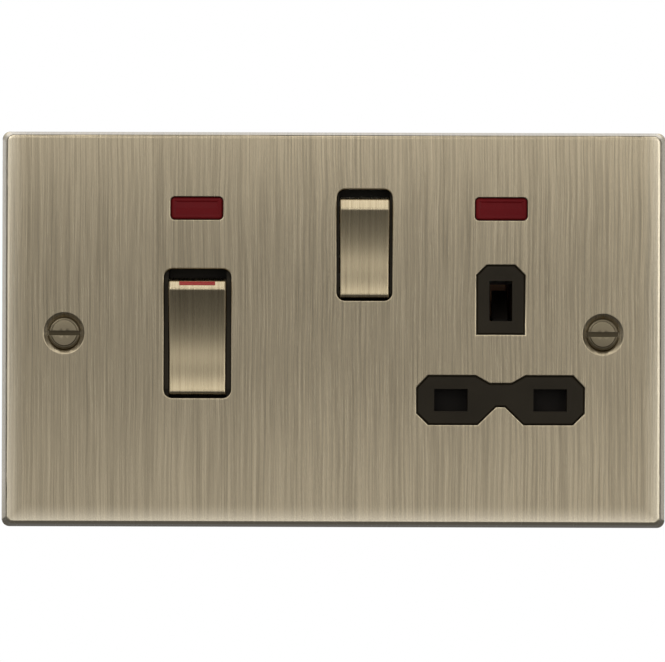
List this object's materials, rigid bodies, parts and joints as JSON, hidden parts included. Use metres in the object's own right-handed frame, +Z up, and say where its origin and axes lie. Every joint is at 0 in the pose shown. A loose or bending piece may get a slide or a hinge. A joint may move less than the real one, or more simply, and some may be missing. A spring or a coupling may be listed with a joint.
{
  "type": "cooker control unit",
  "caption": "Wall-mounted cooker control unit: brushed antique metal plate with a cooker rocker switch, a switched three-pin outlet and red neon indicators.",
  "frame": {"origin": "on the wall's plane, midway between the two fixing screws", "axes": "+X to the right seen from the front, +Y into the wall along the fixing screws, +Z up"},
  "size_m": [0.149, 0.0338, 0.0887],
  "materials": {
    "plate": "antique brass, brushed upright",
    "rocker_metal": "antique brass, brushed upright",
    "screw_metal": "antiqued",
    "black_moulding": "fine matt",
    "housing": "fine matt",
    "rocker_core": "fine matt",
    "red_strip": "gloss",
    "lens": "moulded, faceted inside",
    "shutter": "fine matt",
    "terminal_brass": "machined",
    "copper": "stamped",
    "contact_silver": "satin",
    "zinc": "zinc plated",
    "spring_steel": "drawn wire",
    "lamp_glass": "clear",
    "resistor": "lacquered"
  },
  "bodies": {
    "frame": {"front_plate": "plate", "plate_fasteners": "zinc", "fixing_screws": "screw_metal", "front_moulding": "black_moulding", "rear_housing": "housing", "terminal_screws": "zinc", "housing_screws": "zinc", "line_fixed_contact": "copper", "line_pivot_bracket": "copper", "neutral_fixed_contact": "copper", "neutral_pivot_bracket": "copper", "line_link_bar": "copper", "outlet_pivot_bracket": "copper", "neutral_link_bar": "copper", "earth_bar": "copper", "fixed_contact_tips": "contact_silver", "cooker_neon_lens": "lens", "outlet_neon_lens": "lens", "neon_lamps": "lamp_glass", "neon_resistors": "resistor", "outlet_line_contact": "copper", "outlet_neutral_contact": "copper", "outlet_earth_contact": "copper", "plate_earth_strap": "copper", "shutter_spring": "spring_steel", "supply_line_terminal": "terminal_brass", "supply_neutral_terminal": "terminal_brass", "supply_earth_terminal": "terminal_brass", "load_line_terminal": "terminal_brass", "load_neutral_terminal": "terminal_brass", "load_earth_terminal": "terminal_brass"},
    "cooker_rocker": {"cooker_rocker_cap": "rocker_metal", "cooker_rocker_core": "rocker_core", "cooker_on_strip": "red_strip", "cooker_plungers": "terminal_brass", "cooker_plunger_springs": "spring_steel"},
    "outlet_rocker": {"outlet_rocker_cap": "rocker_metal", "outlet_rocker_core": "rocker_core", "outlet_plunger": "terminal_brass", "outlet_plunger_spring": "spring_steel"},
    "line_arm": {"line_contact_arm": "copper", "line_arm_tip": "contact_silver"},
    "neutral_arm": {"neutral_contact_arm": "copper", "neutral_arm_tip": "contact_silver"},
    "outlet_arm": {"outlet_contact_arm": "copper", "outlet_arm_tip": "contact_silver"},
    "shutter_slide": {"shutter": "shutter"}
  },
  "joints": [
    {"name": "cooker_rocker_tilt", "type": "hinge", "parent": "frame", "child": "cooker_rocker", "pos_m": [-0.03046, 0.0048, 0], "axis": [1, 0, 0], "range_deg": [-14, 0]},
    {"name": "line_arm_swing", "type": "hinge", "parent": "frame", "child": "line_arm", "pos_m": [-0.02646, 0.018, 0], "axis": [1, 0, 0], "range_deg": [0, 20]},
    {"name": "neutral_arm_swing", "type": "hinge", "parent": "frame", "child": "neutral_arm", "pos_m": [-0.03446, 0.018, 0], "axis": [1, 0, 0], "range_deg": [0, 20]},
    {"name": "outlet_rocker_tilt", "type": "hinge", "parent": "frame", "child": "outlet_rocker", "pos_m": [0.00688, 0.0048, 0.0199], "axis": [1, 0, 0], "range_deg": [-14, 0]},
    {"name": "outlet_arm_swing", "type": "hinge", "parent": "frame", "child": "outlet_arm", "pos_m": [0.00688, 0.018, 0.0199], "axis": [1, 0, 0], "range_deg": [0, 20]},
    {"name": "shutter_drop", "type": "slide", "parent": "frame", "child": "shutter_slide", "axis": [0, 0, -1], "range_m": [0, 0.0065], "stiffness_N_per_m": 60, "springref_m": -0.004, "deforming": ["shutter_spring"]}
  ],
  "couplings": [
    {"joint": "line_arm_swing", "follows": "cooker_rocker_tilt", "ratio": -1.4286},
    {"joint": "neutral_arm_swing", "follows": "cooker_rocker_tilt", "ratio": -1.4286},
    {"joint": "outlet_arm_swing", "follows": "outlet_rocker_tilt", "ratio": -1.4286}
  ]
}
